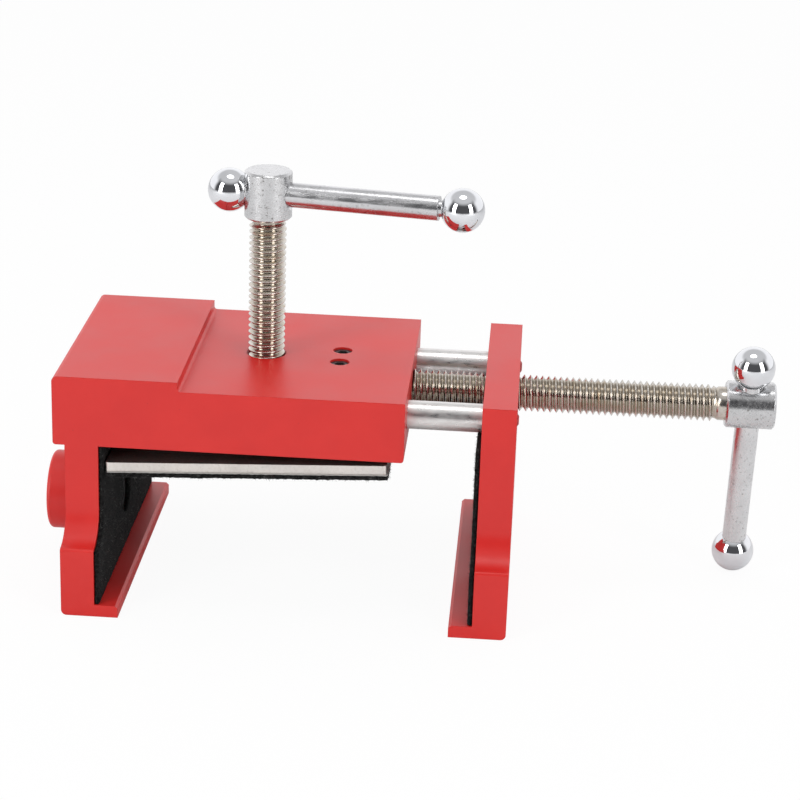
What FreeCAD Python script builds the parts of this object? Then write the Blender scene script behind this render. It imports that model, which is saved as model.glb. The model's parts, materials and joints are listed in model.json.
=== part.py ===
import FreeCAD, Part
import math
import os

# Cabinet face-frame clamp.
# Axes: X along the guide rods from the fixed jaw to the movable jaw, Y across the jaws, Z up.
# Origin: the fixed jaw's clamping face at X = 0, the mid-plane at Y = 0, the undersides of the feet at Z = 0.

os.makedirs("parts", exist_ok=True)
doc = FreeCAD.newDocument("face_frame_clamp")
V = FreeCAD.Vector

# name: size in millimetres or degrees
SIZES = {
    # shared jaw section
    "jaw_thick": 8.5, "jaw_half": 33.0, "foot_half": 41.1, "foot_top": 18.3, "cove_radius": 8.1,
    "lip_reach": 6.0, "lip_thick": 3.2, "pad_thick": 1.3, "pad_inset": 0.4,
    # block
    "block_left": -11.5, "block_right": 76.9, "block_under": 43.3, "block_top": 59.0,
    "raised_right": 20.1, "raised_top": 61.5,
    # movable jaw
    "slide_face": 96.0, "slide_thick": 8.6, "slide_pad_top": 46.6,
    # screws, both 3/8 inch by 16 threads to the inch
    "screw_radius": 4.7625, "screw_gap": 0.08, "axis_height": 51.5,
    "clamp_inner": 50.0, "groove_middle": 58.0, "groove_width": 2.6, "groove_radius": 3.15,
    "clamp_bore_end": 48.5, "collar_start": 156.0, "collar_radius": 4.38,
    "hub_start": 158.1, "hub_end": 170.8, "hub_radius": 6.1, "seat_place": 10.18,
    "tenon_radius": 3.0, "tenon_long": 2.4,
    "press_middle": 38.4, "press_shoulder": 41.8, "press_neck": 2.9, "press_end": 38.45,
    "press_hub_low": 95.6, "press_hub_high": 108.0, "mouth_radius": 5.15,
    # handles
    "bar_radius": 3.15, "bar_gap": 0.05, "ball_radius": 5.6, "socket_depth": 3.0, "neck_radius": 2.2,
    "press_bar_height": 102.0, "press_bar_yaw": -8.41, "press_near": 10.18, "press_far": 50.39,
    "clamp_bar_place": 164.35, "clamp_bar_tilt": 12.86, "clamp_near": 11.25, "clamp_far": 46.94,
    # guide rods
    "rod_radius": 3.65, "rod_gap": 0.05, "rod_offset": 20.0, "rod_inner": 20.0, "rod_outer": 102.0,
    "rod_bore_end": 1.0, "fix_shank": 1.5, "fix_head": 1.65, "fix_proud": 0.45, "fix_long": 7.0,
    # set screws
    "set_offset": 4.5, "set_radius": 2.5, "set_top": 58.4, "set_low": 56.5, "dog_radius": 1.2,
    "dog_end": 50.6, "socket_flat": 1.25, "socket_low": 57.1,
    # drill guide
    "guide_radius": 10.45, "guide_reach": 10.0, "guide_height": 17.15, "guide_bore": 3.2,
    "spigot_radius": 6.0, "pad_hole": 5.4,
    # pressure plate, in its own frame at the middle of its upper face
    "plate_height": 40.75, "plate_left": -36.65, "plate_right": 34.4, "plate_half": 33.0,
    "plate_thick": 2.5, "plate_tilt": -2.56, "plate_hole": 4.3, "recess_radius": 7.2,
    "recess_depth": 1.6, "felt_thick": 1.55, "felt_over": 0.4, "felt_left": 0.1, "felt_side": 0.2,
    "washer_low": 41.05, "washer_thick": 0.7, "washer_radius": 6.0, "clip_low": 38.55,
    "clip_thick": 0.5, "clip_radius": 5.2,
    # rounded and chamfered edges
    "corner_round": 1.4, "edge_round": 0.8, "lip_flat": 0.7, "guide_round": 1.0,
    "plate_corner": 1.0, "rod_flat": 0.5, "bar_flat": 0.3, "hub_flat": 0.5,
}

sheet = doc.addObject("Spreadsheet::Sheet", "sizes")
for row, (alias, value) in enumerate(SIZES.items(), start=1):
    sheet.set(f"A{row}", alias)
    sheet.set(f"B{row}", str(value))
    sheet.setAlias(f"B{row}", alias)
doc.recompute()


def expr(text):
    """Turn a formula in size names into a spreadsheet expression."""
    words = []
    word = ""
    for letter in text + " ":
        if letter.isalpha() or letter == "_":
            word += letter
            continue
        if word:
            words.append("sizes." + word if word in SIZES else word)
            word = ""
        words.append(letter)
    return "".join(words).strip()


def bind(item, **formulas):
    """Bind an object's properties to formulas in size names."""
    for name, text in formulas.items():
        item.setExpression(name.replace("__", "."), expr(str(text)))


def place(item, x, y, z):
    bind(item, Placement__Base__x=x, Placement__Base__y=y, Placement__Base__z=z)


def box(name, x, y, z):
    """A box from (low, high) formula pairs along each axis."""
    item = doc.addObject("Part::Box", name)
    bind(item, Length=f"({x[1]})-({x[0]})", Width=f"({y[1]})-({y[0]})", Height=f"({z[1]})-({z[0]})")
    place(item, x[0], y[0], z[0])
    return item


TURNS = {
    "x": FreeCAD.Rotation(V(0, 1, 0), 90),
    "y": FreeCAD.Rotation(V(1, 0, 0), -90),
    "z": FreeCAD.Rotation(),
}


def rod(name, axis, radius, start, end, at=("0", "0")):
    """A cylinder along an axis, from start to end, at the two other coordinates."""
    item = doc.addObject("Part::Cylinder", name)
    item.Placement = FreeCAD.Placement(V(), TURNS[axis])
    bind(item, Radius=radius, Height=f"({end})-({start})")
    spot = {"x": (start, at[0], at[1]), "y": (at[0], start, at[1]), "z": (at[0], at[1], start)}[axis]
    place(item, *spot)
    return item


def cone(name, axis, low_radius, high_radius, start, end, at=("0", "0")):
    item = doc.addObject("Part::Cone", name)
    item.Placement = FreeCAD.Placement(V(), TURNS[axis])
    bind(item, Radius1=low_radius, Radius2=high_radius, Height=f"({end})-({start})")
    spot = {"x": (start, at[0], at[1]), "y": (at[0], start, at[1]), "z": (at[0], at[1], start)}[axis]
    place(item, *spot)
    return item


def ball(name, radius, x="0", y="0", z="0", axis="z"):
    """A sphere with its poles along an axis, so that a hole along that axis misses its seam."""
    item = doc.addObject("Part::Sphere", name)
    item.Placement = FreeCAD.Placement(V(), TURNS[axis])
    bind(item, Radius=radius)
    place(item, x, y, z)
    return item


def join(name, pieces):
    item = doc.addObject("Part::MultiFuse", name)
    item.Shapes = pieces
    item.Refine = True
    return item


def cut(name, base, tools):
    """Base minus its tools, one cut after another."""
    for count, tool in enumerate(tools, start=1):
        item = doc.addObject("Part::Cut", name if count == len(tools) else f"{name}_cut_{count}")
        item.Base = base
        item.Tool = tool
        base = item
    return base


# edges no longer than this are left sharp
SHORTEST = 1.2


def edges(item, test):
    """Numbers of the edges whose every end passes the test."""
    doc.recompute()
    return [
        number for number, edge in enumerate(item.Shape.Edges, start=1)
        if edge.Vertexes and all(test(corner.Point) for corner in edge.Vertexes)
        and edge.Length > SHORTEST
    ]


def dress(kind, name, item, size, tests):
    """Fillet or chamfer the edges that pass any of the tests."""
    numbers = sorted({number for test in tests for number in edges(item, test)})
    result = doc.addObject("Part::Fillet" if kind == "round" else "Part::Chamfer", name)
    result.Base = item
    result.Edges = [(number, size, size) for number in numbers]
    doc.recompute()
    return result


def near(value, target):
    return abs(value - target) < 0.01


def jaw(name, outer, inner, lip, top, thick_sign):
    """Leg, wide foot with coved shoulders and lip, for the jaw between X outer and X inner."""
    low_x, high_x = (outer, inner) if thick_sign < 0 else (inner, outer)
    lip_low, lip_high = (inner, lip) if thick_sign < 0 else (lip, inner)
    span = (low_x, high_x)
    pieces = [
        box(f"{name}_leg", span, ("-jaw_half", "jaw_half"), ("0", top)),
        box(f"{name}_foot", span, ("-foot_half", "foot_half"), ("0", "foot_top")),
        box(f"{name}_lip", (lip_low, lip_high), ("-foot_half", "foot_half"), ("0", "lip_thick")),
    ]
    for side, sign, edge in (("front", "-", "-foot_half"), ("rear", "", "jaw_half")):
        block = box(
            f"{name}_{side}_shoulder", span,
            (edge, f"{edge}+cove_radius"), ("foot_top", "foot_top+cove_radius"),
        )
        hollow = rod(
            f"{name}_{side}_cove", "x", "cove_radius", f"{low_x}-1", f"{high_x}+1",
            (f"{sign}foot_half", "foot_top+cove_radius"),
        )
        pieces.append(cut(f"{name}_{side}_bracket", block, [hollow]))
    return pieces


def export(item, node):
    doc.recompute()
    if "Invalid" in item.State or "Error" in item.State:
        raise RuntimeError(f"{node}: {item.State}")
    if item.Shape.isNull() or not item.Shape.isValid():
        raise RuntimeError(f"{node}: bad shape")
    limits = item.Shape.BoundBox
    print(
        f"{node:22s} solids {len(item.Shape.Solids)} volume {item.Shape.Volume:9.1f} "
        f"x {limits.XMin:7.2f} {limits.XMax:7.2f} y {limits.YMin:7.2f} {limits.YMax:7.2f} "
        f"z {limits.ZMin:7.2f} {limits.ZMax:7.2f}"
    )
    item.Shape.exportStep(f"parts/{node}.step")


S = SIZES

# Fixed jaw and block: one red piece. The block overhangs the leg's outer face.
body_pieces = jaw("fixed", "-jaw_thick", "0", "lip_reach", "block_under+1", -1)
WIDE = ("-jaw_half", "jaw_half")
body_pieces.append(box("block", ("block_left", "block_right"), WIDE, ("block_under", "block_top")))
body_pieces.append(box("raised", ("block_left", "raised_right"), WIDE, ("block_under+1", "raised_top")))
body_solid = join("main_body_solid", body_pieces)
body_soft = dress("round", "main_body_soft", body_solid, S["corner_round"], [
    lambda p: near(p.x, S["block_left"]) and near(p.z, S["raised_top"]),
    lambda p: near(p.x, -S["jaw_thick"]) and near(p.z, 0),
])
body_edges = dress("round", "main_body_edges", body_soft, S["edge_round"], [
    lambda p: near(p.x, S["block_left"]) and near(p.z, S["block_under"]),
    lambda p: near(p.x, S["block_right"]) and near(p.z, S["block_under"]),
    lambda p: near(p.x, S["raised_right"]) and near(p.z, S["block_top"]),
    lambda p: near(abs(p.y), S["foot_half"]) and near(p.z, S["foot_top"]) and p.x < 0.1,
])
body_lip = dress("flat", "main_body_lip", body_edges, S["lip_flat"], [
    lambda p: near(p.x, S["lip_reach"]) and near(p.z, S["lip_thick"]),
])
body_holes = [
    rod("press_bore", "z", "screw_radius+screw_gap", "block_under-1", "block_top+1", ("press_middle", "0")),
    cone("press_mouth", "z", "screw_radius+screw_gap", "mouth_radius+0.3", "block_top-0.4", "block_top+0.3",
         ("press_middle", "0")),
    rod("clamp_bore", "x", "screw_radius+screw_gap", "clamp_bore_end", "block_right+1", ("0", "axis_height")),
    rod("guide_hole", "x", "spigot_radius", "-jaw_thick-1", "1", ("0", "guide_height")),
]
for side, sign in (("front", "-"), ("rear", "")):
    body_holes.append(rod(f"rod_bore_{side}", "x", "rod_radius+rod_gap", "rod_bore_end", "block_right+1",
                          (f"{sign}rod_offset", "axis_height")))
    body_holes.append(rod(f"set_hole_{side}", "z", "set_radius+0.02", "set_low", "block_top+1",
                          ("groove_middle", f"{sign}set_offset")))
    body_holes.append(rod(f"dog_hole_{side}", "z", "dog_radius+0.02", "dog_end-0.2", "set_low+1",
                          ("groove_middle", f"{sign}set_offset")))
main_body = cut("main_body", body_lip, body_holes)
export(main_body, "main_body")

# Drill guide: a round boss on the leg's outer face, with a spigot through the leg.
GUIDE_SPOT = ("0", "guide_height")
guide_boss = rod("guide_boss", "x", "guide_radius", "-jaw_thick-guide_reach", "-jaw_thick", GUIDE_SPOT)
guide_boss_soft = dress("round", "guide_boss_soft", guide_boss, S["guide_round"], [
    lambda p: near(p.x, -S["jaw_thick"] - S["guide_reach"]),
])
guide_solid = join("guide_solid", [
    guide_boss_soft,
    rod("guide_spigot", "x", "spigot_radius-0.01", "-jaw_thick-1", "0", ("0", "guide_height")),
])
guide = cut("drill_guide", guide_solid, [
    rod("guide_bore", "x", "guide_bore", "-jaw_thick-guide_reach-1", "1", ("0", "guide_height")),
])
export(guide, "drill_guide")


def felt(name, low_x, high_x, top, hole):
    """Felt that follows the jaw's outline a little inside its edges."""
    span = (low_x, high_x)
    inset = "-pad_inset"
    pieces = [
        box(f"{name}_upper", span, (f"-(jaw_half{inset})", f"jaw_half{inset}"), ("lip_thick+0.05", top)),
        box(f"{name}_lower", span, (f"-(foot_half{inset})", f"foot_half{inset}"),
            ("lip_thick+0.05", "foot_top-pad_inset")),
    ]
    for side, sign, edge in (("front", "-", f"-(foot_half{inset})"), ("rear", "", f"jaw_half{inset}")):
        block = box(f"{name}_{side}_shoulder", span, (edge, f"{edge}+cove_radius"),
                    ("foot_top-pad_inset", "foot_top-pad_inset+cove_radius"))
        hollow = rod(f"{name}_{side}_cove", "x", "cove_radius", f"{low_x}-1", f"{high_x}+1",
                     (f"{sign}(foot_half{inset})", "foot_top-pad_inset+cove_radius"))
        pieces.append(cut(f"{name}_{side}_bracket", block, [hollow]))
    solid = join(f"{name}_solid" if hole else name, pieces)
    if hole:
        drill_hole = rod(f"{name}_hole", "x", "pad_hole", f"{low_x}-1", f"{high_x}+1", GUIDE_SPOT)
        solid = cut(name, solid, [drill_hole])
    return solid


export(felt("fixed_jaw_pad", "0", "pad_thick", "block_under-0.1", True), "fixed_jaw_pad")
export(felt("movable_jaw_pad", "slide_face-pad_thick", "slide_face", "slide_pad_top", False),
       "movable_jaw_pad")

# Set screws: hexagon sockets, with dog points in the clamp screw's groove.
for side, sign in (("front", "-"), ("rear", "")):
    spot = ("groove_middle", f"{sign}set_offset")
    solid = join(f"set_{side}_solid", [
        rod(f"set_{side}_thread", "z", "set_radius", "set_low", "set_top", spot),
        rod(f"set_{side}_dog", "z", "dog_radius", "dog_end", "set_low+0.5", spot),
    ])
    key = doc.addObject("Part::Prism", f"set_{side}_key")
    key.Polygon = 6
    bind(key, Circumradius="socket_flat/cos(30)", Height="2")
    place(key, *spot, "socket_low")
    export(cut(f"set_screw_{side}", solid, [key]), f"set_screw_{side}")

# Movable jaw, on the two guide rods and threaded on the clamp screw.
slide_pieces = jaw("slide", "slide_face+slide_thick", "slide_face", "slide_face-lip_reach", "block_top", 1)
slide_solid = join("slide_solid", slide_pieces)
inner_x = S["slide_face"]
outer_x = inner_x + S["slide_thick"]
OUTER = "slide_face+slide_thick"
slide_soft = dress("round", "slide_soft", slide_solid, S["corner_round"], [
    lambda p: near(p.x, outer_x) and near(p.z, 0),
])
slide_edges = dress("round", "slide_edges", slide_soft, S["edge_round"], [
    lambda p: near(abs(p.y), S["foot_half"]) and near(p.z, S["foot_top"]) and p.x > inner_x - 0.1,
])
slide_lip = dress("flat", "slide_lip", slide_edges, S["lip_flat"], [
    lambda p: near(p.x, inner_x - S["lip_reach"]) and near(p.z, S["lip_thick"]),
])
slide_holes = [
    rod("nut_hole", "x", "screw_radius+screw_gap", "slide_face-1", f"{OUTER}+1", ("0", "axis_height")),
]
for side, sign in (("front", "-"), ("rear", "")):
    spot = (f"{sign}rod_offset", "axis_height")
    slide_holes.append(rod(f"rod_seat_{side}", "x", "rod_radius+0.01", "slide_face-1", "rod_outer", spot))
    slide_holes.append(rod(f"fix_hole_{side}", "x", "fix_shank+0.02", "rod_outer-1", f"{OUTER}+1", spot))
export(cut("movable_jaw", slide_lip, slide_holes), "movable_jaw")

for side, sign in (("front", "-"), ("rear", "")):
    spot = (f"{sign}rod_offset", "axis_height")
    shaft = rod(f"rod_{side}_shaft", "x", "rod_radius", "rod_inner", "rod_outer", spot)
    shaft_soft = dress("flat", f"rod_{side}_soft", shaft, S["rod_flat"], [
        lambda p: near(p.x, S["rod_inner"]),
    ])
    tapped = rod(f"rod_{side}_tapped", "x", "fix_shank+0.01", f"{OUTER}-fix_long-0.3", "rod_outer+1", spot)
    export(cut(f"guide_rod_{side}", shaft_soft, [tapped]), f"guide_rod_{side}")
    shank = rod(f"fix_{side}_shank", "x", "fix_shank", f"{OUTER}-fix_long", f"{OUTER}+0.2", spot)
    head = cone(f"fix_{side}_head", "x", "fix_head", "fix_head-0.6", OUTER, f"{OUTER}+fix_proud", spot)
    export(join(f"rod_screw_{side}", [shank, head]), f"rod_screw_{side}")

# Clamp screw: held along its length by the dog points in its groove.
SCREW_SPOT = ("0", "axis_height")
clamp_blank = join("clamp_blank", [
    cone("clamp_lead", "x", "screw_radius-1", "screw_radius", "clamp_inner", "clamp_inner+1", SCREW_SPOT),
    rod("clamp_thread", "x", "screw_radius", "clamp_inner+1", "collar_start", SCREW_SPOT),
    rod("clamp_collar", "x", "collar_radius", "collar_start-0.5", "hub_start", SCREW_SPOT),
    rod("clamp_tenon", "x", "tenon_radius", "hub_start-0.5", "hub_start+tenon_long", SCREW_SPOT),
])
groove_disc = rod("groove_disc", "x", "screw_radius+1", "groove_middle-groove_width/2",
                  "groove_middle+groove_width/2", SCREW_SPOT)
groove_core = rod("groove_core", "x", "groove_radius", "groove_middle-groove_width",
                  "groove_middle+groove_width", SCREW_SPOT)
groove_ring = cut("groove_ring", groove_disc, [groove_core])
export(cut("clamp_screw", clamp_blank, [groove_ring]), "clamp_screw")


def hub(node, axis, low, high, at, bar_at, turn_axis, turn, tenon_low):
    """Turned hub with a waist, a cross hole for the T-bar and a hollow seat for each ball."""
    blank = rod(f"{node}_blank", axis, "hub_radius", low, high, at)
    blank_soft = doc.addObject("Part::Chamfer", f"{node}_soft")
    blank_soft.Base = blank
    doc.recompute()
    blank_soft.Edges = [
        (number, S["hub_flat"], S["hub_flat"])
        for number, edge in enumerate(blank.Shape.Edges, start=1)
        if edge.Closed and len(edge.Vertexes) == 1
    ]
    hole = rod(f"{node}_hole", "z" if axis == "x" else "x", "bar_radius+bar_gap", "-10", "10")
    seats = []
    for place_name, sign in (("one", ""), ("two", "-")):
        seat_at = f"{sign}seat_place"
        spot = ("0", "0", seat_at) if axis == "x" else (seat_at, "0", "0")
        seats.append(ball(f"{node}_seat_{place_name}", "ball_radius+0.05", *spot))
    tool = join(f"{node}_tool", [hole] + seats)
    tool.Placement = FreeCAD.Placement(V(), FreeCAD.Rotation(turn_axis, S[turn]))
    tool.setExpression("Placement.Rotation.Angle", expr(f"abs({turn})"))
    place(tool, *bar_at)
    tenon = rod(f"{node}_tenon_hole", axis, "tenon_radius+0.01", tenon_low, f"{tenon_low}+tenon_long+0.1", at)
    return cut(node, blank_soft, [tool, tenon])


def handle(prefix, axis, spot, near_at, far_at, turn_axis, turn, names, necked):
    """T-bar and its two balls, built straight and then turned about the hub's centre."""
    if axis == "x":
        ends = {"near": f"-({near_at})", "far": far_at}
        low, high = ends["near"], ends["far"]
    else:
        ends = {"near": near_at, "far": f"-({far_at})"}
        low, high = ends["far"], ends["near"]
    shaft_end = f"{high}-socket_depth-{necked}"
    shaft = rod(f"{prefix}_shaft", axis, "bar_radius", f"{low}+socket_depth", shaft_end)
    if necked != "0":
        neck = rod(f"{prefix}_neck", axis, "neck_radius", f"{shaft_end}-1", f"{high}-socket_depth")
        bar = join(f"{prefix}_t_bar", [shaft, neck])
    else:
        bar = dress("flat", f"{prefix}_t_bar", shaft, S["bar_flat"], [lambda p: True])
    made = [(bar, f"{prefix}_t_bar")]
    for end, node in names.items():
        at = (ends[end], "0", "0") if axis == "x" else ("0", "0", ends[end])
        solid = ball(f"{node}_solid", "ball_radius", *at, axis=axis)
        inward = ends[end] == low
        start = f"{ends[end]}+socket_depth-0.02" if inward else f"{ends[end]}-10"
        end_at = f"{ends[end]}+10" if inward else f"{ends[end]}-socket_depth+0.02"
        thin = necked != "0" and end == "far"
        socket = rod(f"{node}_socket", axis, "neck_radius+0.01" if thin else "bar_radius+0.01", start, end_at)
        made.append((cut(node, solid, [socket]), node))
    for item, node in made:
        item.Placement = FreeCAD.Placement(V(), FreeCAD.Rotation(turn_axis, S[turn]))
        item.setExpression("Placement.Rotation.Angle", expr(f"abs({turn})"))
        place(item, *spot)
        export(item, node)


ALONG_X = V(1, 0, 0)
DOWN = V(0, 0, -1)
CLAMP_CENTRE = ("clamp_bar_place", "0", "axis_height")
PRESS_CENTRE = ("press_middle", "0", "press_bar_height")
PRESS_SPOT = ("press_middle", "0")
export(hub("clamp_hub", "x", "hub_start", "hub_end", SCREW_SPOT, CLAMP_CENTRE,
           ALONG_X, "clamp_bar_tilt", "hub_start"), "clamp_hub")
handle("clamp", "z", CLAMP_CENTRE, "clamp_near", "clamp_far", ALONG_X, "clamp_bar_tilt",
       {"near": "clamp_ball_upper", "far": "clamp_ball_lower"}, "0")

# Press screw: its shoulder bears on the swivel washer and its neck is kept under the plate by the clip.
export(join("press_screw", [
    rod("press_thread", "z", "screw_radius", "press_shoulder", "press_hub_low", PRESS_SPOT),
    rod("press_neck_rod", "z", "press_neck", "press_end", "press_shoulder+1", PRESS_SPOT),
    rod("press_tenon", "z", "tenon_radius", "press_hub_low-1", "press_hub_low+tenon_long", PRESS_SPOT),
]), "press_screw")
export(hub("press_hub", "z", "press_hub_low", "press_hub_high", PRESS_SPOT, PRESS_CENTRE,
           DOWN, "press_bar_yaw", "press_hub_low"), "press_hub")
handle("press", "x", PRESS_CENTRE, "press_near", "press_far", DOWN, "press_bar_yaw",
       {"near": "press_ball_left", "far": "press_ball_right"}, "3.0")



def ring(node, outside, hole, low, thick):
    """A flat ring round the press screw's neck."""
    high = f"{low}+{thick}"
    disc = rod(f"{node}_disc", "z", outside, low, high, PRESS_SPOT)
    middle = rod(f"{node}_hole", "z", hole, f"{low}-1", f"{high}+1", PRESS_SPOT)
    return cut(node, disc, [middle])


# Swivel washer and retaining clip.
export(ring("swivel_washer", "washer_radius", "press_neck+0.05", "washer_low", "washer_thick"),
       "swivel_washer")
export(ring("retaining_clip", "clip_radius", "press_neck+0.01", "clip_low", "clip_thick"), "retaining_clip")


def corners(x_low, x_high, y_half):
    """Tests for the four upright corner edges of a block."""
    return [
        lambda p, x=x, y=y: near(p.x, x) and near(p.y, y)
        for x in (x_low, x_high) for y in (-y_half, y_half)
    ]


# Pressure plate, tilted as it hangs, with felt glued under it. Its hole is loose on the neck, so it swivels.
plate_blank = box("plate_blank", ("plate_left", "plate_right"), ("-plate_half", "plate_half"),
                  ("-plate_thick", "0"))
plate_soft = dress("round", "plate_soft", plate_blank, S["plate_corner"],
                   corners(S["plate_left"], S["plate_right"], S["plate_half"]))
plate = cut("pressure_plate", plate_soft, [
    rod("plate_hole_rod", "z", "plate_hole", "-plate_thick-1", "1"),
    rod("plate_recess", "z", "recess_radius", "-plate_thick-1", "-plate_thick+recess_depth"),
])
felt_blank = box("plate_felt_blank", ("plate_left-felt_left", "plate_right+felt_over"),
                 ("-plate_half-felt_side", "plate_half+felt_side"),
                 ("-plate_thick-felt_thick", "-plate_thick"))
plate_felt_pad = dress("round", "pressure_plate_pad", felt_blank, S["plate_corner"], corners(
    S["plate_left"] - S["felt_left"], S["plate_right"] + S["felt_over"], S["plate_half"] + S["felt_side"]))
for item, node in ((plate, "pressure_plate"), (plate_felt_pad, "pressure_plate_pad")):
    item.Placement = FreeCAD.Placement(V(), FreeCAD.Rotation(V(0, -1, 0), abs(S["plate_tilt"])))
    item.setExpression("Placement.Rotation.Angle", expr("abs(plate_tilt)"))
    place(item, "press_middle", "0", "plate_height")
    export(item, node)

for item in doc.Objects:
    if "Invalid" in item.State or "Error" in item.State:
        raise RuntimeError(f"{item.Name}: {item.State}")
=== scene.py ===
"""Looks for a cabinet face-frame clamp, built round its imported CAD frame. Metres, +Z up."""
import json
import math
import random

import bmesh
import bpy
import numpy as np
from mathutils import Matrix, Vector, noise


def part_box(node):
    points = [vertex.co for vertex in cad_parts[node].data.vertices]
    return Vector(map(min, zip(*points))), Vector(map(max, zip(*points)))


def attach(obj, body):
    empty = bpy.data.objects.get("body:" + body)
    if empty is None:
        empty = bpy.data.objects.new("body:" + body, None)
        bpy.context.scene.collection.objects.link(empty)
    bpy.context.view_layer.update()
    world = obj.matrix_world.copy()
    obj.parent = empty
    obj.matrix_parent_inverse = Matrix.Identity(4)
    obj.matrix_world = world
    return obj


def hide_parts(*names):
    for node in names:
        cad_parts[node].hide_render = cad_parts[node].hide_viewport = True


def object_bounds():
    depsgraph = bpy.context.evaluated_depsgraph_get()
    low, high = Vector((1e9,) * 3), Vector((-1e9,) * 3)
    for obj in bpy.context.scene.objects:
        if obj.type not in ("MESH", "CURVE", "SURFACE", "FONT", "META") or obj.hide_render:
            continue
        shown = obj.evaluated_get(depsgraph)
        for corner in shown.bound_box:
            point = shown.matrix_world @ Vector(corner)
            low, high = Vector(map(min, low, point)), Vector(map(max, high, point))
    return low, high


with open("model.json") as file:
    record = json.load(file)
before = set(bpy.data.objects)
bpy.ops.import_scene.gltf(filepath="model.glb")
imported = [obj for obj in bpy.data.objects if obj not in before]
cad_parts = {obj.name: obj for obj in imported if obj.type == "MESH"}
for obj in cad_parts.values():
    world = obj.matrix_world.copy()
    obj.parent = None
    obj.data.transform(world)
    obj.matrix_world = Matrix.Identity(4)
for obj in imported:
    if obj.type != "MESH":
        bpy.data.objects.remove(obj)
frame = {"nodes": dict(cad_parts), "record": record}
CAD_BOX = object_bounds()
MM = 0.001

# Threads of both screws: 16 to the inch
PITCH = 25.4 / 16 * MM
THREAD_DEPTH = 0.58 * PITCH
THREAD_FADE = 0.9 * PITCH
COLLAR_RADIUS = 4.38 * MM
COLLAR_LONG = 2.1 * MM
NECK_RADIUS = 2.9 * MM
TURN_STEPS = 56
AXIS_RADIUS = 1e-5

# Drill guide: painted shade, near black, inside its bore, and on its spigot from this place along X
GUIDE_BORE = 3.3 * MM
SPIGOT_START = -1.2 * MM

# Felt
FELT_GRAIN = 0.42 * MM
FIBRE_LONG = 0.62 * MM
FIBRE_HALF = 0.026 * MM
COVE_STEPS = 8

# Pressure plate's felt and glue
PLATE_CORNER = 1.2 * MM
RIM_WAVE = 0.12 * MM
RIM_LONG_STEPS = 24
RIM_SIDE_STEPS = 22
BEAD_STEP = 0.35 * MM
BEAD_SIDES = 8

# Stage and camera
FLOOR_HALF = 6.0
FLOOR_GAP = 0.05 * MM
CAMERA_SPOT = (0.10579, -0.57798, 0.26593)
CAMERA_YAW, CAMERA_PITCH, CAMERA_ROLL = 3.180, -20.659, 1.938
CAMERA_LENS = 106.36


# ---------------------------------------------------------------- materials
class Nodes:
    """Small helper for building a node tree."""

    def __init__(self, tree):
        self.tree = tree

    def add(self, kind, **inputs):
        node = self.tree.nodes.new(kind)
        for name, value in inputs.items():
            numbered = name[0] == "_" and name[1:].isdigit()
            key = int(name[1:]) if numbered else name.replace("_", " ")
            if isinstance(value, bpy.types.NodeSocket):
                self.tree.links.new(value, node.inputs[key])
            else:
                node.inputs[key].default_value = value
        return node

    def math(self, operation, a, b=0.0, clamp=False):
        node = self.add("ShaderNodeMath", _0=a, _1=b)
        node.operation = operation
        node.use_clamp = clamp
        return node.outputs[0]

    def ramp(self, value, low, high, start=0.0, end=1.0):
        limits = {"From_Min": low, "From_Max": high, "To_Min": start, "To_Max": end}
        node = self.add("ShaderNodeMapRange", Value=value, **limits)
        node.interpolation_type = "SMOOTHSTEP"
        return node.outputs[0]

    def blend(self, amount, a, b):
        node = self.tree.nodes.new("ShaderNodeMix")
        node.data_type = "RGBA"
        for key, value in ((0, amount), (6, a), (7, b)):
            if isinstance(value, bpy.types.NodeSocket):
                self.tree.links.new(value, node.inputs[key])
            else:
                node.inputs[key].default_value = value
        return node.outputs[2]

    def noise(self, place, scale, detail=3.0, rough=0.55, stretch=None):
        if stretch:
            place = self.add("ShaderNodeMapping", Vector=place, Scale=stretch).outputs[0]
        inputs = {"Vector": place, "Scale": scale, "Detail": detail, "Roughness": rough}
        return self.add("ShaderNodeTexNoise", **inputs).outputs[0]


def material(name, build):
    """A material whose nodes are made by build(kit, shader, place)."""
    made = bpy.data.materials.new(name)
    made.use_nodes = True
    tree = made.node_tree
    tree.nodes.clear()
    kit = Nodes(tree)
    output = tree.nodes.new("ShaderNodeOutputMaterial")
    shader = tree.nodes.new("ShaderNodeBsdfPrincipled")
    tree.links.new(shader.outputs[0], output.inputs[0])
    place = tree.nodes.new("ShaderNodeTexCoord").outputs["Object"]
    build(kit, shader, place)
    return made


def feed(kit, shader, **values):
    """Sets or links the shader's inputs by name."""
    for name, value in values.items():
        socket = shader.inputs[name.replace("_", " ")]
        if isinstance(value, bpy.types.NodeSocket):
            kit.tree.links.new(value, socket)
        else:
            socket.default_value = value


def bumped(kit, height, strength, distance, edge=0.0):
    """Bump over a softened edge."""
    inputs = {"Strength": strength, "Distance": distance, "Height": height}
    if edge:
        bevel = kit.add("ShaderNodeBevel", Radius=edge)
        bevel.samples = 6
        inputs["Normal"] = bevel.outputs[0]
    return kit.add("ShaderNodeBump", **inputs).outputs[0]


def red_paint(kit, shader, place):
    peel = kit.noise(place, 2600, 2)
    broad = kit.noise(place, 55, 4)
    specks = kit.ramp(kit.noise(place, 900, 2), 0.74, 0.80)
    tone = kit.blend(kit.ramp(broad, 0.3, 0.7), (0.57, 0.013, 0.010, 1), (0.615, 0.017, 0.013, 1))
    tone = kit.blend(kit.math("MULTIPLY", specks, 0.35), tone, (0.30, 0.01, 0.012, 1))
    feed(
        kit, shader, Base_Color=tone, Roughness=kit.ramp(broad, 0.25, 0.75, 0.36, 0.44),
        Normal=bumped(kit, peel, 0.10, 0.00006, 0.00028), Specular_IOR_Level=0.50,
    )


def red_dark(kit, shader, place):
    red_paint(kit, shader, place)
    tone = kit.blend(kit.noise(place, 700), (0.30, 0.01, 0.012, 1), (0.45, 0.02, 0.02, 1))
    feed(kit, shader, Base_Color=tone)


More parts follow.
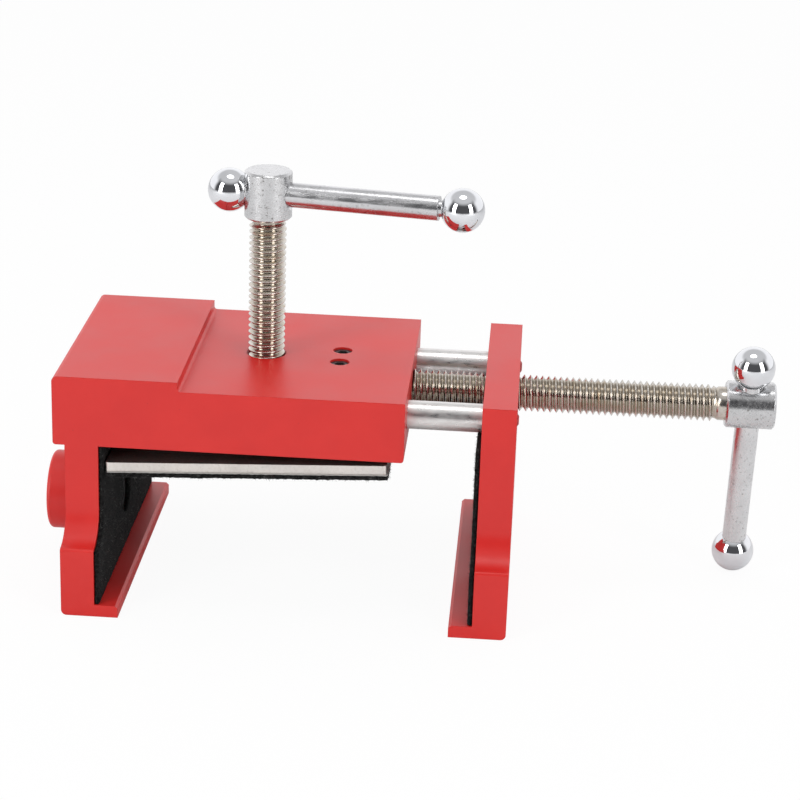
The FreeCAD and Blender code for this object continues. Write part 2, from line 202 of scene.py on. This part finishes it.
def guide_paint_and_bore_shade(kit, shader, place):
    """Red boss with painted shade, near black, inside its bore and on its spigot."""
    red_paint(kit, shader, place)
    red = shader.inputs["Base Color"].links[0].from_socket
    low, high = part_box("drill_guide")
    axis_z = (low[2] + high[2]) / 2
    # Painted shade: near black inside the bore's radius and on the spigot past SPIGOT_START, standing in for
    # the shade in the hole.
    parts = kit.add("ShaderNodeSeparateXYZ", Vector=place)
    away = kit.math("ABSOLUTE", parts.outputs[1])
    lift = kit.math("SUBTRACT", parts.outputs[2], axis_z)
    square = kit.math("ADD", kit.math("MULTIPLY", away, away), kit.math("MULTIPLY", lift, lift))
    inside = kit.ramp(kit.math("SQRT", square), GUIDE_BORE, GUIDE_BORE + 0.3 * MM, 1.0, 0.0)
    spigot = kit.ramp(parts.outputs[0], SPIGOT_START, SPIGOT_START + 0.6 * MM)
    dark = kit.math("MAXIMUM", inside, spigot)
    feed(kit, shader, Base_Color=kit.blend(dark, red, (0.012, 0.011, 0.011, 1)))


def felt_black(kit, shader, place):
    fibre = kit.noise(place, 1500, 5, 0.75)
    clump = kit.noise(place, 420, 4)
    lint = kit.ramp(kit.noise(place, 2100, 4, 0.7), 0.64, 0.72)
    tone = kit.blend(kit.ramp(fibre, 0.40, 0.66), (0.0022, 0.0022, 0.0024, 1), (0.021, 0.021, 0.021, 1))
    tone = kit.blend(kit.math("MULTIPLY", lint, 0.5), tone, (0.10, 0.10, 0.098, 1))
    feed(
        kit, shader, Base_Color=tone, Roughness=0.95, Specular_IOR_Level=0.06, Sheen_Weight=0.03,
        Sheen_Roughness=0.6, Normal=bumped(kit, kit.math("ADD", fibre, clump), 1.0, 0.0004),
    )


def felt_lint(kit, shader, place):
    pale = kit.ramp(kit.noise(place, 500, 3), 0.46, 0.62)
    feed(kit, shader, Base_Color=kit.blend(pale, (0.008, 0.008, 0.008, 1), (0.17, 0.168, 0.162, 1)),
         Roughness=0.9, Specular_IOR_Level=0.1)


def metal(color, rough, grain, stretch=(1, 1, 1), spots=0.0, warm=None, edge=0.2 * MM, painted_shade_top_end=0.0,
          root=False):
    """A metal's look: grain, dull spots, a warm tint in patches, an upper face and ends darkened by painted
    shade and painted reflection, or tinted thread roots.
    """
    def build(kit, shader, place):
        fine = kit.noise(place, 1200, 4, 0.6, stretch)
        broad = kit.noise(place, 160, 4)
        tone = kit.blend(kit.ramp(broad, 0.3, 0.7), tuple(c * 0.90 for c in color[:3]) + (1,), color)
        if warm:
            tone = kit.blend(kit.ramp(kit.noise(place, 300, 3), 0.45, 0.7), tone, warm)
        if spots:
            dirt = kit.ramp(kit.noise(place, 1100, 5, 0.75), 0.57, 0.66)
            tone = kit.blend(kit.math("MULTIPLY", dirt, spots), tone, (0.16, 0.15, 0.14, 1))
        # Painted shade and painted reflection: faces turned up or towards +X are darkened, standing in for
        # the shade under the block and its dark reflection.
        if painted_shade_top_end:
            facing = kit.tree.nodes.new("ShaderNodeTexCoord").outputs["Normal"]
            facing = kit.add("ShaderNodeSeparateXYZ", Vector=facing)
            upward = kit.ramp(facing.outputs[2], 0.6, 0.9)
            endward = kit.ramp(facing.outputs[0], 0.75, 0.95)
            shade = kit.math("MULTIPLY", kit.math("MAXIMUM", upward, endward), painted_shade_top_end)
            tone = kit.blend(shade, tone, (0.085, 0.075, 0.068, 1))
        if root:
            depth = kit.tree.nodes.new("ShaderNodeAttribute")
            depth.attribute_name = "crest"
            tone = kit.blend(kit.ramp(depth.outputs["Fac"], 0.05, 0.85), (0.43, 0.385, 0.325, 1), tone)
        feed(
            kit, shader, Base_Color=tone, Metallic=1.0,
            Roughness=kit.ramp(fine, 0.3, 0.7, rough * 0.75, rough * 1.3),
            Normal=bumped(kit, fine, grain, 0.00004, edge),
        )
    return build


def black_oxide(kit, shader, place):
    grain = kit.noise(place, 1800, 3)
    feed(
        kit, shader, Metallic=0.8,
        Base_Color=kit.blend(grain, (0.045, 0.045, 0.047, 1), (0.12, 0.12, 0.122, 1)),
        Roughness=kit.ramp(grain, 0.3, 0.7, 0.3, 0.5), Normal=bumped(kit, grain, 0.2, 0.00003, 0.00015),
    )


def glue(kit, shader, place):
    lumps = kit.noise(place, 900, 4)
    feed(
        kit, shader, Base_Color=kit.blend(lumps, (0.20, 0.19, 0.18, 1), (0.46, 0.45, 0.43, 1)),
        Roughness=kit.ramp(lumps, 0.3, 0.7, 0.35, 0.6), Normal=bumped(kit, lumps, 0.8, 0.0002),
    )


LOOKS = {
    "red_paint": red_paint,
    "red_dark": red_dark,
    "guide_paint_and_bore_shade": guide_paint_and_bore_shade,
    "felt": felt_black,
    "felt_lint": felt_lint,
    "rod_steel": metal((0.76, 0.745, 0.73, 1), 0.34, 0.40, stretch=(0.30, 1, 1)),
    "thread_nickel": metal(
        (0.63, 0.595, 0.55, 1), 0.18, 0.15, spots=0.35, warm=(0.46, 0.39, 0.30, 1), edge=0.0, root=True),
    "satin_zinc": metal((0.60, 0.60, 0.605, 1), 0.24, 0.30, spots=0.75),
    "bar_along_x": metal((0.62, 0.62, 0.63, 1), 0.24, 0.45, stretch=(0.10, 1, 1), spots=0.60),
    "bar_along_z": metal((0.67, 0.67, 0.675, 1), 0.24, 0.45, stretch=(1, 1, 0.10), spots=0.60),
    "ball_chrome": metal((0.74, 0.75, 0.77, 1), 0.035, 0.02, edge=0.0),
    # The plate steel carries painted shade and painted reflection on its upper face and ends, at 0.85
    # strength.
    "plate_steel": metal((0.76, 0.72, 0.68, 1), 0.52, 0.9, spots=0.15, painted_shade_top_end=0.85),
    "black_oxide": black_oxide,
    "glue": glue,
}
MATS = {name: material(name, look) for name, look in LOOKS.items()}

# CAD nodes whose look differs from their slot's own
SPECIAL_LOOK = {
    "press_t_bar": "bar_along_x",
    "clamp_t_bar": "bar_along_z",
    "rod_screw_front": "red_dark",
    "rod_screw_rear": "red_dark",
    "drill_guide": "guide_paint_and_bore_shade",
}
SLOT_OF = {row["node"]: row["material_slot"] for row in frame["record"]["subparts"]}
for node, item in frame["nodes"].items():
    item.data.materials.clear()
    item.data.materials.append(MATS[SPECIAL_LOOK.get(node, SLOT_OF[node])])


# ---------------------------------------------------------------- geometry helpers
def linked(name, data):
    """A new object in the scene."""
    item = bpy.data.objects.new(name, data)
    bpy.context.scene.collection.objects.link(item)
    return item


def mesh_object(name, points, faces, mat, smooth=True):
    data = bpy.data.meshes.new(name)
    data.from_pydata([tuple(p) for p in points], [], faces)
    data.validate()
    data.materials.append(MATS[mat])
    if smooth:
        data.polygons.foreach_set("use_smooth", [True] * len(data.polygons))
    return linked(name, data)


def node_points(node):
    return [v.co for v in frame["nodes"][node].data.vertices]


def centre_of(node):
    low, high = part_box(node)
    return tuple((a + b) / 2 for a, b in zip(low, high))


# ---------------------------------------------------------------- screws
def along(axis, centre, turn, radius, travel):
    """A point at an angle and radius about a screw's axis, keeping right-hand order."""
    a, b = radius * math.cos(turn), radius * math.sin(turn)
    if axis == "x":
        return (travel, centre[0] + a, centre[1] + b)
    return (centre[0] + a, centre[1] + b, travel)


# One turn of a 60-degree thread, from the middle of one root to the next:
# (share of a pitch, share of the depth)
PROFILE = ((0.0, 0.0), (0.05, 0.0), (0.13, 0.10), (0.41, 0.86), (0.46, 1.0), (0.54, 1.0), (0.59, 0.86),
           (0.87, 0.10), (0.95, 0.0), (1.0, 0.0))


def helix(axis, centre, start, end):
    """The points and faces of a right-hand thread that fades out at both ends."""
    points, faces = [], []
    count = len(PROFILE)
    total = int(math.ceil((end - start) / PITCH + 2) * TURN_STEPS)
    for step in range(total + 1):
        turn = 2 * math.pi * step / TURN_STEPS
        base = start - 1.5 * PITCH + PITCH * step / TURN_STEPS
        for share, height in PROFILE:
            travel = base + share * PITCH
            lead = min(1.0, max(0.0, (travel - start) / THREAD_FADE))
            tail = min(1.0, max(0.0, (end - travel) / THREAD_FADE))
            wobble = 1 + 0.006 * noise.noise(Vector((travel * 900, turn * 0.8, 3.1)))
            radius = ROOT_RADIUS + THREAD_DEPTH * height * min(lead, tail) * wobble
            points.append(along(axis, centre, turn, radius, min(max(travel, start), end)))
        if step:
            first = (step - 1) * count
            for a in range(first, first + count - 1):
                faces.append((a, a + 1, a + count + 1, a + count))
    return points, faces


def turned(axis, centre, rings, points, faces):
    """Adds a lathe surface through rings of (travel, radius)."""
    first = len(points)
    for travel, radius in rings:
        for k in range(TURN_STEPS):
            turn = 2 * math.pi * k / TURN_STEPS
            points.append(along(axis, centre, turn, max(radius, AXIS_RADIUS), travel))
    for ring in range(len(rings) - 1):
        for k in range(TURN_STEPS):
            a = first + ring * TURN_STEPS + k
            b = first + ring * TURN_STEPS + (k + 1) % TURN_STEPS
            faces.append((a, b, b + TURN_STEPS, a + TURN_STEPS))


def weld(data):
    """Joins doubled points and turns the faces outward."""
    work = bmesh.new()
    work.from_mesh(data)
    bmesh.ops.remove_doubles(work, verts=work.verts, dist=2e-6)
    bmesh.ops.recalc_face_normals(work, faces=work.faces)
    work.to_mesh(data)
    work.free()


def mark_crests(data, axis, centre):
    """Stores each point's height up the thread, 0 at a root and 1 at a crest, for the metal's look."""
    crest = data.attributes.new("crest", "FLOAT", "POINT")
    for vert in data.vertices:
        flat = (vert.co.y, vert.co.z) if axis == "x" else (vert.co.x, vert.co.y)
        out = math.hypot(flat[0] - centre[0], flat[1] - centre[1])
        share = (out - SCREW_RADIUS + THREAD_DEPTH) / THREAD_DEPTH
        crest.data[vert.index].value = min(1.0, max(0.0, share))


def thread(name, axis, centre, start, end, ends):
    """A right-hand external thread from start to end, and lathe rings (travel, radius) beyond its ends."""
    points, faces = helix(axis, centre, start, end)
    for rings in ends:
        turned(axis, centre, rings, points, faces)
    item = mesh_object(name, points, faces, "thread_nickel")
    weld(item.data)
    mark_crests(item.data, axis, centre)
    return item


def clamp_screw():
    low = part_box("clamp_screw")[0]
    hub_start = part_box("clamp_hub")[0][0]
    _, axis_y, axis_z = centre_of("clamp_screw")
    collar = hub_start - COLLAR_LONG
    ends = [
        [(low[0], 0), (low[0], ROOT_RADIUS)],
        [(collar - 0.5 * PITCH, ROOT_RADIUS), (collar, ROOT_RADIUS + 0.35 * MM),
         (collar + 0.2 * MM, COLLAR_RADIUS), (hub_start, COLLAR_RADIUS)],
    ]
    clamp_thread = thread("clamp_thread", "x", (axis_y, axis_z), low[0], collar, ends)
    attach(clamp_thread, "clamp_screw")
    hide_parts("clamp_screw")


def press_screw():
    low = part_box("press_screw")[0]
    hub_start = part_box("press_hub")[0][2]
    press_x, press_y, _ = centre_of("press_screw")
    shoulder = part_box("swivel_washer")[1][2] + 0.05 * MM
    ends = [
        [(low[2], 0), (low[2], NECK_RADIUS), (shoulder, NECK_RADIUS), (shoulder, ROOT_RADIUS)],
        [(hub_start - 0.8 * PITCH, ROOT_RADIUS), (hub_start, ROOT_RADIUS)],
    ]
    press_thread = thread("press_thread", "z", (press_x, press_y), shoulder, hub_start - 0.3 * MM, ends)
    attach(press_thread, "press_screw")
    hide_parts("press_screw")


SCREW_RADIUS = (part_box("clamp_screw")[1][2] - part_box("clamp_screw")[0][2]) / 2
ROOT_RADIUS = SCREW_RADIUS - THREAD_DEPTH
clamp_screw()
press_screw()


# ---------------------------------------------------------------- felt
def flat_sheet(name, outline):
    work = bmesh.new()
    work.faces.new([work.verts.new((u, v, 0)) for u, v in outline])
    bmesh.ops.triangulate(work, faces=work.faces[:])
    flat = bpy.data.meshes.new(name + "_flat")
    work.to_mesh(flat)
    work.free()
    return linked(name, flat)


def drill(item, hole, depth):
    """Cuts a round hole (u, v, radius) through a sheet, and gives back the cutter's mesh."""
    spot_u, spot_v, radius = hole
    work = bmesh.new()
    bmesh.ops.create_cone(work, cap_ends=True, segments=32, radius1=radius, radius2=radius, depth=depth,
                          matrix=Matrix.Translation((spot_u, spot_v, 0)))
    data = bpy.data.meshes.new(item.name + "_punch")
    work.to_mesh(data)
    work.free()
    cutter = item.modifiers.new("hole", "BOOLEAN")
    cutter.object = linked(item.name + "_punch", data)
    cutter.operation = "DIFFERENCE"
    return data


def nap(data, thick_axis, low, high, seed):
    """Shakes a flat pad's surface, and stands it between low and high along its thick axis."""
    count = len(data.vertices)
    places = np.empty(count * 3, dtype=np.float32)
    normals = np.empty(count * 3, dtype=np.float32)
    data.vertices.foreach_get("co", places)
    data.vertices.foreach_get("normal", normals)
    places = places.reshape(-1, 3)
    normals = normals.reshape(-1, 3)
    shake = np.empty(count)
    for index, spot in enumerate(places.tolist()):
        point = Vector(spot)
        fine = noise.noise(point * 1400 + Vector((seed, 0, 0)))
        broad = noise.noise(point * 260 + Vector((0, seed, 0)))
        shake[index] = 0.24 * MM * fine + 0.12 * MM * broad
    moved = places + normals * shake[:, None]
    half = (high - low) / 2
    depth = (low + high) / 2 + np.clip(moved[:, 2], -half, half)
    if thick_axis == "x":
        order = (depth, moved[:, 0], moved[:, 1])
    else:
        order = (moved[:, 0], moved[:, 1], depth)
    data.vertices.foreach_set("co", np.stack(order, axis=1).astype(np.float32).ravel())
    data.update()


def felt_pad(name, outline, thick_axis, low, high, seed, placing=None, hole=None):
    """A felt sheet from an outline in its own plane, with rounded, uneven edges and a napped surface."""
    item = flat_sheet(name, outline)
    spare = [item.data]
    solid = item.modifiers.new("thick", "SOLIDIFY")
    solid.thickness = (high - low) * 0.96
    solid.offset = 0
    if hole:
        spare.append(drill(item, hole, (high - low) * 3))
    remesh = item.modifiers.new("remesh", "REMESH")
    remesh.mode = "VOXEL"
    remesh.voxel_size = FELT_GRAIN
    depsgraph = bpy.context.evaluated_depsgraph_get()
    data = bpy.data.meshes.new_from_object(item.evaluated_get(depsgraph))
    item.modifiers.clear()
    item.data = data
    for used in spare:
        bpy.data.meshes.remove(used)
    nap(data, thick_axis, low, high, seed)
    if placing is not None:
        data.transform(placing)
    data.materials.clear()
    data.materials.append(MATS["felt"])
    data.polygons.foreach_set("use_smooth", [True] * len(data.polygons))
    return item


def scatter():
    return Vector([random.uniform(-1, 1) for _ in range(3)])


def fuzz(name, pad, count, seed, keep):
    """Short stray fibres standing off a felt pad, as one mesh of thin tapered blades."""
    random.seed(seed)
    picks = [p for p in pad.data.polygons if keep(p.normal)]
    points, faces = [], []
    for _ in range(count):
        face = random.choice(picks)
        ahead = (face.normal + scatter() * 1.1).normalized()
        side = ahead.cross(scatter()).normalized()
        reach = FIBRE_LONG * random.uniform(0.4, 1.2)
        curl = side.cross(ahead) * reach * random.uniform(-0.5, 0.5)
        first = len(points)
        for part in range(4):
            share = part / 3
            middle = face.center + ahead * reach * share + curl * share * share
            half = side * FIBRE_HALF * (1 - 0.7 * share)
            points += [middle - half, middle + half]
        for part in range(3):
            a = first + part * 2
            faces.append((a, a + 1, a + 3, a + 2))
    return mesh_object(name, points, faces, "felt_lint", smooth=False)


def jaw_outline(node):
    """The jaw felt's outline across Y and Z, read from the CAD pad's own corners."""
    low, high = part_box(node)
    half = high[1]
    corner = node_points(node)
    narrow = max(abs(p.y) for p in corner if p.z > high[2] - 0.1 * MM)
    ledge = max(p.z for p in corner if abs(p.y) > half - 0.05 * MM)
    reach = half - narrow
    side = [(half, low[2]), (half, ledge)]
    for k in range(COVE_STEPS + 1):
        turn = math.pi / 2 * k / COVE_STEPS
        side.append((half - reach * math.sin(turn), ledge + reach * (1 - math.cos(turn))))
    side.append((narrow, high[2]))
    return side + [(-y, z) for y, z in reversed(side)]


def guide_hole(node):
    """Where the drill guide's hole goes through the felt, and how large it is in the CAD pad."""
    middle = centre_of("drill_guide")[2]
    return 0, middle, min(math.hypot(p.y, p.z - middle) for p in node_points(node))


def jaw_felt(node, body, seed, hole=None):
    low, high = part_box(node)
    pad = felt_pad(body + "_felt", jaw_outline(node), "x", low[0], high[0], seed, hole=hole)
    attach(pad, body)
    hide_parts(node)
    fibres = fuzz(body + "_felt_fibres", pad, 9000, seed + 1,
                  lambda n: abs(n.x) < 0.75 or random.random() < 0.35)
    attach(fibres, body)


jaw_felt("fixed_jaw_pad", "fixed_jaw", 3, guide_hole("fixed_jaw_pad"))
jaw_felt("movable_jaw_pad", "movable_jaw", 7)


# ---------------------------------------------------------------- pressure plate's felt and glue
def plate_frame():
    """The plate's tilt, and the frame that lies on its upper face at the press screw's axis."""
    points = node_points("pressure_plate")
    left_end = min(p.x for p in points) + PLATE_CORNER
    right_end = max(p.x for p in points) - PLATE_CORNER
    left_top = max((p for p in points if p.x < left_end), key=lambda p: p.z)
    right_top = max((p for p in points if p.x > right_end), key=lambda p: p.z)
    tilt = math.atan2(right_top.z - left_top.z, right_top.x - left_top.x)
    press_x = centre_of("press_screw")[0]
    pivot = Vector((press_x, 0, left_top.z + (press_x - left_top.x) * math.tan(tilt)))
    return tilt, Matrix.Translation(pivot) @ Matrix.Rotation(-tilt, 4, "Y")


def plate_ends(tilt):
    """The felt's left and right ends along the plate, measured from the press screw's axis."""
    low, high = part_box("pressure_plate")
    press_x = centre_of("press_screw")[0]
    left = (low[0] - press_x) / math.cos(tilt) - 0.05 * MM
    right = (high[0] - press_x) / math.cos(tilt) + 0.1 * MM
    return left, right


def plate_rim(left, right, half):
    """The felt's outline, cut unevenly along the front and the right end."""
    rim = []
    for k in range(RIM_LONG_STEPS):
        wave = RIM_WAVE * noise.noise(Vector((k * 3.1, 0, 1)))
        rim.append((left + (right - left) * k / RIM_LONG_STEPS, -half + wave))
    for k in range(RIM_SIDE_STEPS):
        wave = RIM_WAVE * noise.noise(Vector((0, k * 2.3, 4)))
        rim.append((right + wave, -half + 2 * half * k / RIM_SIDE_STEPS))
    rim += [(right + (left - right) * k / RIM_LONG_STEPS, half) for k in range(RIM_LONG_STEPS)]
    rim += [(left, half - 2 * half * k / RIM_SIDE_STEPS) for k in range(RIM_SIDE_STEPS)]
    return rim


def plate_pad(turn_plate, left, right, half, bottom, top):
    rim = plate_rim(left, right, half)
    plate_felt = felt_pad("plate_felt", rim, "z", bottom, top, 11, placing=turn_plate)
    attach(plate_felt, "pressure_plate")
    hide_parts("pressure_plate_pad")
    plate_fibres = fuzz("plate_felt_fibres", plate_felt, 15000, 12,
                        lambda n: abs(n.z) < 0.8 or n.z < 0 and random.random() < 0.3)
    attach(plate_fibres, "pressure_plate")


def bead_path(left, right, half):
    """Evenly spaced points just inside the edge between plate and felt."""
    start, end = left + 0.5 * MM, right - 0.15 * MM
    near, far = -half + 0.02 * MM, half - 0.02 * MM
    path = [(start, near), (end, near), (end, far), (start, far), (start, near)]
    rows = []
    for (x0, y0), (x1, y1) in zip(path, path[1:]):
        long = math.hypot(x1 - x0, y1 - y0)
        for k in range(int(long / BEAD_STEP)):
            share = k * BEAD_STEP / long
            rows.append((x0 + (x1 - x0) * share, y0 + (y1 - y0) * share))
    return rows


def glue_line(turn_plate, rows, level):
    """A lumpy bead of glue squeezed out round the plate's lower edge."""
    points, faces = [], []
    for count, (x, y) in enumerate(rows):
        swell = 0.15 * MM + 0.09 * MM * noise.noise(Vector((x * 900, y * 900, 2)))
        middle = Vector((x, y, level + 0.02 * MM))
        outward = Vector((x, y, 0)).normalized()
        first = count * BEAD_SIDES
        after = (count + 1) % len(rows) * BEAD_SIDES
        for k in range(BEAD_SIDES):
            turn = 2 * math.pi * k / BEAD_SIDES
            sideways = outward * math.cos(turn) * swell * 1.6
            lift = Vector((0, 0, 1)) * math.sin(turn) * swell
            points.append(turn_plate @ (middle + sideways + lift))
            beside = (k + 1) % BEAD_SIDES
            faces.append((first + k, first + beside, after + beside, after + k))
    bead = mesh_object("plate_glue_line", points, faces, "glue")
    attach(bead, "pressure_plate")


tilt, turn_plate = plate_frame()
left, right = plate_ends(tilt)
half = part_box("pressure_plate_pad")[1][1]
pad_depth = [(turn_plate.inverted() @ p).z for p in node_points("pressure_plate_pad")]
plate_pad(turn_plate, left, right, half, min(pad_depth), max(pad_depth))
glue_line(turn_plate, bead_path(left, right, half), max(pad_depth))


# ---------------------------------------------------------------- stage, light and camera
def emitter(name, spot, target, wide, tall, power, shape="RECTANGLE"):
    data = bpy.data.lights.new(name, "AREA")
    data.shape = shape
    data.size = wide
    data.size_y = tall
    data.energy = power
    item = linked(name, data)
    item.location = spot
    item.rotation_euler = (Vector(target) - Vector(spot)).to_track_quat("-Z", "Y").to_euler()


def floor_look(kit, shader, place):
    """Pale matte floor that looks almost white to the camera."""
    feed(kit, shader, Base_Color=(0.86, 0.86, 0.86, 1), Roughness=0.9, Specular_IOR_Level=0.1)
    seen = kit.tree.nodes.new("ShaderNodeLightPath").outputs["Is Camera Ray"]
    glow = kit.add("ShaderNodeEmission", Color=(1, 1, 1, 1), Strength=1.0)
    mix = kit.tree.nodes.new("ShaderNodeMixShader")
    kit.tree.links.new(kit.math("MULTIPLY", seen, 0.94), mix.inputs[0])
    kit.tree.links.new(shader.outputs[0], mix.inputs[1])
    kit.tree.links.new(glow.outputs[0], mix.inputs[2])
    output = [n for n in kit.tree.nodes if n.bl_idname == "ShaderNodeOutputMaterial"][0]
    kit.tree.links.new(mix.outputs[0], output.inputs[0])


def lay_floor(x, z):
    span = FLOOR_HALF
    data = bpy.data.meshes.new("floor")
    corners = [(-span, -span, 0), (span, -span, 0), (span, span, 0), (-span, span, 0)]
    data.from_pydata(corners, [], [(0, 1, 2, 3)])
    data.materials.append(material("floor", floor_look))
    floor = linked("floor", data)
    floor.location = (x, 0, z)


def studio_world():
    """White to the camera. In reflections: dark in front, pale behind and above, bright low down behind."""
    world = bpy.data.worlds.new("studio")
    bpy.context.scene.world = world
    world.use_nodes = True
    tree = world.node_tree
    tree.nodes.clear()
    kit = Nodes(tree)
    direction = tree.nodes.new("ShaderNodeTexCoord").outputs["Generated"]
    parts = kit.add("ShaderNodeSeparateXYZ", Vector=direction)
    behind = kit.ramp(parts.outputs[1], -0.35, 0.10)
    above = kit.ramp(parts.outputs[2], 0.55, 0.85)
    tone = kit.blend(kit.math("MAXIMUM", behind, above), (0.10, 0.10, 0.105, 1), (0.74, 0.74, 0.75, 1))
    low_band = kit.math("MULTIPLY", behind, kit.ramp(parts.outputs[2], 0.50, 0.72, 1.0, 0.0))
    tone = kit.blend(low_band, tone, (1.22, 1.22, 1.24, 1))
    seen = tree.nodes.new("ShaderNodeLightPath").outputs["Is Camera Ray"]
    sky = kit.add("ShaderNodeBackground", Color=kit.blend(seen, tone, (1, 1, 1, 1)), Strength=1.0)
    tree.links.new(sky.outputs[0], tree.nodes.new("ShaderNodeOutputWorld").inputs[0])


def place_camera():
    yaw, pitch, roll = (math.radians(a) for a in (CAMERA_YAW, CAMERA_PITCH, CAMERA_ROLL))
    ahead = Vector((-math.sin(yaw) * math.cos(pitch), math.cos(yaw) * math.cos(pitch), math.sin(pitch)))
    level = Vector((math.cos(yaw), math.sin(yaw), 0))
    up = level.cross(ahead)
    across = math.cos(roll) * level + math.sin(roll) * up
    upward = -math.sin(roll) * level + math.cos(roll) * up
    data = bpy.data.cameras.new("camera")
    data.sensor_width = 36
    data.lens = CAMERA_LENS
    data.clip_start = 0.01
    camera = linked("camera", data)
    turn = Matrix((across, upward, -ahead)).transposed().to_4x4()
    camera.matrix_world = Matrix.Translation(CAMERA_SPOT) @ turn
    bpy.context.scene.camera = camera


low, high = CAD_BOX
middle = [(a + b) / 2 for a, b in zip(low, high)]
emitter("key_left", (middle[0] - 0.75, -0.75, 0.45), middle, 0.35, 0.95, 6)
emitter("key_right", (middle[0] + 0.80, -0.75, 0.45), middle, 0.35, 0.95, 5.5)
emitter("overhead", (middle[0], -0.05, 1.05), middle, 0.50, 0.38, 1.5, shape="ELLIPSE")
lay_floor(middle[0], low[2] - FLOOR_GAP)
studio_world()
place_camera()
bpy.context.scene.view_settings.view_transform = "Standard"
